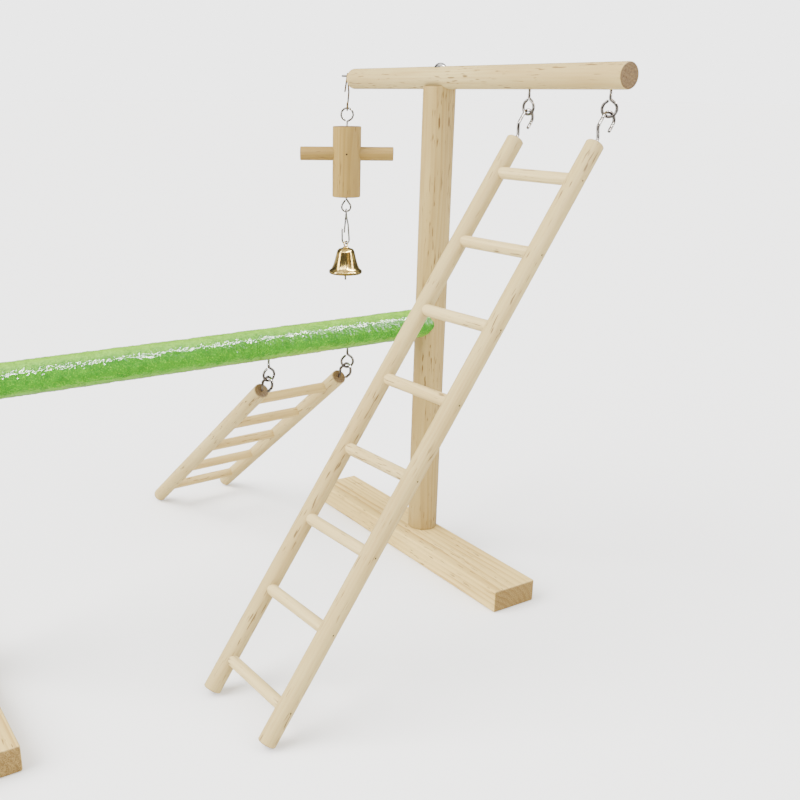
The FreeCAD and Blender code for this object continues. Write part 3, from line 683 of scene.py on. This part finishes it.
def toy_wires(nickel, clip_steel):
    """The toy's screw eyes and its two clips."""
    toy_way, face_way = toy_ways()
    perch_hang = Vector(JOINTS["upper_clip_swing"]["pos_m"])
    block_hang = Vector(JOINTS["toy_block_swing"]["pos_m"])
    low_ring = Vector(JOINTS["lower_clip_swing"]["pos_m"])
    bell_hang = Vector(JOINTS["bell_swing"]["pos_m"])

    # Eye in the perch's end, its ring flat
    radius = PERCH_EYE[0]
    low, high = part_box("toy_perch_eye")
    ring_x = perch_hang.x - face_way.x * radius - radius
    ring_far = Vector((ring_x, (low[1] + high[1]) / 2, perch_hang.z))
    toy_eye("toy_perch_eye", "stand", ring_far, Vector((0, 1, 0)), Vector((1, 0, 0)), PERCH_EYE,
            high[0] - ring_far.x, PERCH_EYE_THREAD, nickel)

    # Eyes of the block
    ring_top = block_hang + Z * CLIP_STEP
    low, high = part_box("toy_eye_top")
    toy_eye("toy_eye_top", "toy_block", ring_top, toy_way, -Z, BLOCK_EYE, ring_top.z - low[2],
            BLOCK_EYE_THREAD, nickel)
    low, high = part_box("toy_eye_bottom")
    toy_eye("toy_eye_bottom", "toy_block", low_ring, toy_way, Z, LOWER_EYE, high[2] - low_ring.z,
            BLOCK_EYE_THREAD, nickel)

    # Upper clip
    top = perch_hang + Z * CLIP_STEP
    foot = block_hang.z - top.z
    spots = [(a * MM, b * MM, c * MM) for a, b, c in UPPER_CLIP_START]
    spots += [(-CLIP_HALF_WIDTH, 0.0, foot), (CLIP_HALF_WIDTH, 0.0, foot),
              (CLIP_HALF_WIDTH, 0.0, foot + UPPER_CLIP_TIP * MM)]
    points = [top + face_way * a + toy_way * b + Z * c for a, b, c in spots]
    path = bend(points, [UPPER_CLIP_BEND, UPPER_CLIP_BEND, UPPER_CLIP_BOW_BEND, CLIP_LOOP_BEND,
                         CLIP_LOOP_BEND])
    piece = wire("upper_clip_wire", path, CLIP_WIRE)
    finish_piece(piece, clip_steel, "upper_clip", "nickel_wire", "upper_clip")

    # Lower clip
    top = low_ring + Z * CLIP_STEP
    shoulder = top - Z * LOWER_CLIP_SHOULDER
    wide = LOWER_CLIP_RADIUS
    knee_rise, knee_side = LOWER_CLIP_KNEE
    gate_rise, gate_side = LOWER_CLIP_GATE
    points = [
        bell_hang + Z * LOWER_CLIP_TIP - toy_way * (wide + LOWER_CLIP_SHIFT),
        bell_hang - toy_way * wide,
        bell_hang + toy_way * wide,
        bell_hang + Z * LOWER_CLIP_RUN + toy_way * CLIP_HALF_WIDTH,
        shoulder + face_way * CLIP_HALF_WIDTH + toy_way * LOWER_CLIP_SHIFT,
        top + face_way * CLIP_HALF_WIDTH,
        top - face_way * CLIP_HALF_WIDTH,
        shoulder - face_way * CLIP_HALF_WIDTH - toy_way * LOWER_CLIP_SHIFT,
        bell_hang + Z * knee_rise - toy_way * knee_side,
        bell_hang + Z * gate_rise - toy_way * gate_side,
    ]
    lower_bend = wide - LOWER_CLIP_PLAY
    bends = [lower_bend, lower_bend, LOWER_CLIP_SIDE_BEND, LOWER_CLIP_SHOULDER_BEND,
             CLIP_LOOP_BEND, CLIP_LOOP_BEND, LOWER_CLIP_SHOULDER_BEND, LOWER_CLIP_SIDE_BEND]
    piece = wire("lower_clip_wire", bend(points, bends), CLIP_WIRE)
    finish_piece(piece, nickel, "lower_clip", "nickel_wire", "lower_clip")


def in_metres(outline):
    return [(r * MM, z * MM) for r, z in outline]


def bell(brass, nickel):
    """Spun brass bell with a rolled lip, its hanging loop and its clapper."""
    toy_way, face_way = toy_ways()
    hang = Vector(JOINTS["bell_swing"]["pos_m"])
    pivot = Vector(JOINTS["clapper_swing"]["pos_m"])
    crown = Vector((hang.x, hang.y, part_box("bell_shell")[1][2]))
    profile = smooth_profile(BELL_OUTSIDE) + smooth_profile(BELL_INSIDE)
    shell = lathe("bell_shell_spun", in_metres(profile), crown)
    finish_piece(shell, brass, "bell", "brass", "bell_shell")

    loop_middle = crown + Z * BELL_LOOP_RISE
    loop_axis = Quaternion(Z, radians(BELL_LOOP_TURN)) @ toy_way
    side = loop_axis.cross(Z)
    points = [loop_middle + side * a + Z * b for a, b in in_metres(BELL_LOOP)]
    path = bend(points, [r * MM for r in BELL_LOOP_BENDS], FINE_STEP)
    loop = wire("bell_loop_wire", path, BELL_LOOP_WIRE)
    finish_piece(loop, brass, "bell", "brass", "bell_loop")
    seat = lathe("bell_loop_seat", in_metres(smooth_profile(BELL_COLLAR, 1)), crown, 64)
    extra_piece(seat, brass, "bell")

    points = [pivot + face_way * a + Z * b for a, b in in_metres(CLAPPER_HOOK)]
    path = bend(points, [r * MM for r in CLAPPER_HOOK_BENDS], FINE_STEP)
    hanger = wire("clapper_hanger_wire", path, CLAPPER_WIRE)
    tail_end = (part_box("clapper")[0][2] - pivot.z) / MM
    drop = CLAPPER_WEIGHT + [(r, tail_end + rise) for r, rise in CLAPPER_TAIL]
    weight = lathe("clapper_weight", in_metres(smooth_profile(drop)), pivot, 48)
    finish_piece(weight, nickel, "clapper", "nickel_wire", "clapper")
    extra_piece(hanger, nickel, "clapper")


# ---------------------------------------------------------------- sand coating

def blurred(field, rounds):
    """A random field smoothed over its neighbours; it wraps round its first direction."""
    for _ in range(rounds):
        field = (np.roll(field, 1, 0) + 2 * field + np.roll(field, -1, 0)) / 4
        padded = np.pad(field, ((0, 0), (1, 1)), mode="edge")
        field = (padded[:, :-2] + 2 * field + padded[:, 2:]) / 4
    return (field - field.mean()) / field.std()


def coated_perch(material):
    """The rough green sleeve of grains, coped round both posts."""
    low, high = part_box("green_perch_coating")
    radius = (high[0] - low[0]) / 2
    middle_z = (low[2] + high[2]) / 2
    around = SAND_AROUND
    along = SAND_ALONG
    generator = np.random.default_rng(SAND_SEED)
    lift = np.zeros((around, along))
    for rounds, height in SAND_LAYERS:
        lift += height * blurred(generator.normal(size=(around, along)), rounds)
    lift = np.clip(lift, -SAND_LIFT_LIMIT, SAND_LIFT_LIMIT) * MM
    angles = np.linspace(0, 2 * pi, around, endpoint=False)
    ends = []
    for post, side in (("short_post", 1), ("tall_post", -1)):
        post_low, post_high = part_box(post)
        post_radius = (post_high[0] - post_low[0]) / 2
        post_y = (post_low[1] + post_high[1]) / 2
        x = np.sin(angles) * radius
        ends.append(post_y + side * np.sqrt(post_radius ** 2 - np.minimum(x, post_radius) ** 2))
    vertices = []
    for i in range(around):
        share = np.linspace(0, 1, along)
        ys = ends[0][i] * (1 - share) + ends[1][i] * share
        rs = radius - SAND_LIFT_LIMIT * MM + lift[i]
        for y, r in zip(ys, rs):
            vertices.append((sin(angles[i]) * r, y, middle_z + cos(angles[i]) * r))
    outer = len(vertices)
    inner_radius = radius - SAND_THICKNESS
    for i in range(around):
        for end in (0, 1):
            vertices.append((sin(angles[i]) * inner_radius, ends[end][i],
                             middle_z + cos(angles[i]) * inner_radius))
    faces = []
    for i in range(around):
        n = (i + 1) % around
        for k in range(along - 1):
            faces.append((i * along + k, i * along + k + 1, n * along + k + 1, n * along + k))
        faces.append((outer + 2 * i, outer + 2 * n, outer + 2 * n + 1, outer + 2 * i + 1))
        faces.append((i * along, n * along, outer + 2 * n, outer + 2 * i))
        faces.append((n * along + along - 1, i * along + along - 1,
                      outer + 2 * i + 1, outer + 2 * n + 1))
    piece = mesh_piece("green_perch_sand", vertices, faces)
    finish_piece(piece, material, "stand", "green_sand", "green_perch_coating")


# ---------------------------------------------------------------- studio

def sun(name, azimuth, elevation, strength, angle):
    """A broad soft sun, azimuth from +X towards +Y; returns the light it gives to level ground."""
    lamp = bpy.data.lights.new(name, "SUN")
    lamp.energy = strength
    lamp.angle = radians(angle)
    lamp.color = SUN_COLOUR
    light = bpy.data.objects.new(name, lamp)
    bpy.context.scene.collection.objects.link(light)
    level = cos(radians(elevation))
    way = Vector((cos(radians(azimuth)) * level, sin(radians(azimuth)) * level,
                  sin(radians(elevation))))
    light.rotation_euler = way.to_track_quat("Z", "Y").to_euler()
    light.location = way * 2.0
    light.visible_glossy = False
    return strength * sin(radians(elevation))


def facing_middle(place):
    """Turn that points a panel's or a card's back away from the middle of the stand."""
    return (Vector(place) - LIT_MIDDLE).to_track_quat("Z", "Y").to_euler()


def panel(name, place, size, power):
    """A softbox that only gives highlights."""
    lamp = bpy.data.lights.new(name, "AREA")
    lamp.shape = "RECTANGLE"
    lamp.size, lamp.size_y = size
    lamp.energy = power
    light = bpy.data.objects.new(name, lamp)
    bpy.context.scene.collection.objects.link(light)
    light.location = place
    light.rotation_euler = facing_middle(place)
    light.visible_diffuse = False


def dark_card(name, place, size):
    """A black card that only shows in the metal."""
    half_w, half_h = size[0] / 2, size[1] / 2
    corners = [(-half_w, -half_h, 0), (half_w, -half_h, 0), (half_w, half_h, 0),
               (-half_w, half_h, 0)]
    card = mesh_piece(name, corners, [(0, 1, 2, 3)], False)
    card.location = place
    card.rotation_euler = facing_middle(place)
    n = Nodes(name)
    n.shader.inputs["Base Color"].default_value = CARD_COLOUR
    n.shader.inputs["Roughness"].default_value = 1.0
    card.data.materials.append(n.material)
    card.visible_camera = False
    card.visible_diffuse = False
    card.visible_shadow = False


def mirrored_room(tree, path, lighting):
    """What shiny things see: a dim room with a bright ceiling, and the plain light otherwise."""
    coords = tree.nodes.new("ShaderNodeTexCoord")
    split = tree.nodes.new("ShaderNodeSeparateXYZ")
    tree.links.new(coords.outputs["Generated"], split.inputs[0])
    height = tree.nodes.new("ShaderNodeValToRGB")
    stops = height.color_ramp.elements
    for place, grey in ROOM_TONES:
        stop = stops.new(place) if 0 < place < 1 else stops[-1 if place else 0]
        stop.color = (grey, grey, grey, 1)
    half = tree.nodes.new("ShaderNodeMapRange")
    tree.links.new(split.outputs["Z"], half.inputs[0])
    half.inputs[1].default_value = -1.0
    tree.links.new(half.outputs[0], height.inputs[0])
    room = tree.nodes.new("ShaderNodeBackground")
    room.inputs["Strength"].default_value = ROOM_LIGHT
    tree.links.new(height.outputs[0], room.inputs["Color"])
    mix = tree.nodes.new("ShaderNodeMixShader")
    tree.links.new(path.outputs["Is Glossy Ray"], mix.inputs[0])
    tree.links.new(lighting.outputs[0], mix.inputs[1])
    tree.links.new(room.outputs[0], mix.inputs[2])
    return mix.outputs[0]


def studio():
    """Suns, surroundings, floor, panels and cards."""
    scene = bpy.context.scene
    light = sum(sun(*values) for values in SUNS)
    grey = BACKDROP_GREY / (AMBIENT + light / pi)

    world = bpy.data.worlds.new("studio")
    scene.world = world
    world.use_nodes = True
    tree = world.node_tree
    tree.nodes.clear()
    output = tree.nodes.new("ShaderNodeOutputWorld")
    seen = tree.nodes.new("ShaderNodeBackground")
    seen.inputs["Color"].default_value = (BACKDROP_GREY, BACKDROP_GREY, BACKDROP_GREY, 1)
    lighting = tree.nodes.new("ShaderNodeBackground")
    lighting.inputs["Color"].default_value = (AMBIENT, AMBIENT, AMBIENT, 1)
    path = tree.nodes.new("ShaderNodeLightPath")
    mix = tree.nodes.new("ShaderNodeMixShader")
    tree.links.new(path.outputs["Is Camera Ray"], mix.inputs[0])
    tree.links.new(mirrored_room(tree, path, lighting), mix.inputs[1])
    tree.links.new(seen.outputs[0], mix.inputs[2])
    tree.links.new(mix.outputs[0], output.inputs[0])

    corners = [(FLOOR_REACH * a, FLOOR_REACH * b, 0) for a, b in ((-1, -1), (1, -1), (1, 1), (-1, 1))]
    floor = mesh_piece("floor", corners, [(0, 1, 2, 3)], False)
    n = Nodes("floor")
    path = n.add("ShaderNodeLightPath")
    dim = grey * MIRRORED_FLOOR
    tone = n.mix(path.outputs["Is Glossy Ray"], (grey, grey, grey, 1), (dim, dim, dim, 1))
    n.feed(tone, n.shader, "Base Color")
    n.shader.inputs["Roughness"].default_value = 0.9
    n.shader.inputs["Specular IOR Level"].default_value = 0.0
    floor.data.materials.append(n.material)
    floor.location.z = -FLOOR_DROP

    for values in PANELS:
        panel(*values)
    for values in CARDS:
        dark_card(*values)


def camera():
    """The camera that matches the photo."""
    fwd = Vector((sin(CAMERA_YAW) * cos(CAMERA_PITCH), cos(CAMERA_YAW) * cos(CAMERA_PITCH),
                  sin(CAMERA_PITCH)))
    level = Vector((cos(CAMERA_YAW), -sin(CAMERA_YAW), 0.0))
    rise = level.cross(fwd)
    right = level * cos(CAMERA_ROLL) + rise * sin(CAMERA_ROLL)
    up = rise * cos(CAMERA_ROLL) - level * sin(CAMERA_ROLL)
    data = bpy.data.cameras.new("camera")
    data.lens = CAMERA_LENS
    data.sensor_width = CAMERA_SENSOR
    data.shift_x, data.shift_y = CAMERA_SHIFT
    data.clip_start, data.clip_end = CAMERA_CLIP
    eye = bpy.data.objects.new("camera", data)
    bpy.context.scene.collection.objects.link(eye)
    turn = Matrix((right, up, -fwd)).transposed()
    eye.matrix_world = Matrix.Translation(CAMERA_AT) @ turn.to_4x4()
    bpy.context.scene.camera = eye


def main():
    camera()
    studio()
    nickel = metal("nickel")
    clip_steel = metal("clip_steel")
    screw = metal("screw_steel")
    brad = metal("brad_steel")
    brass = metal("brass")
    paint_wood()
    for node in ("base_screws", "green_perch_screws", "top_perch_screw"):
        paint(node, screw)
    for node in ("long_ladder_brads", "short_ladder_brads", "toy_pin"):
        paint(node, brad)
    paint("clapper_staple", nickel)
    ladder_eyes(nickel)
    ladder_hooks(nickel)
    toy_wires(nickel, clip_steel)
    bell(brass, nickel)
    coated_perch(green_sand())


main()
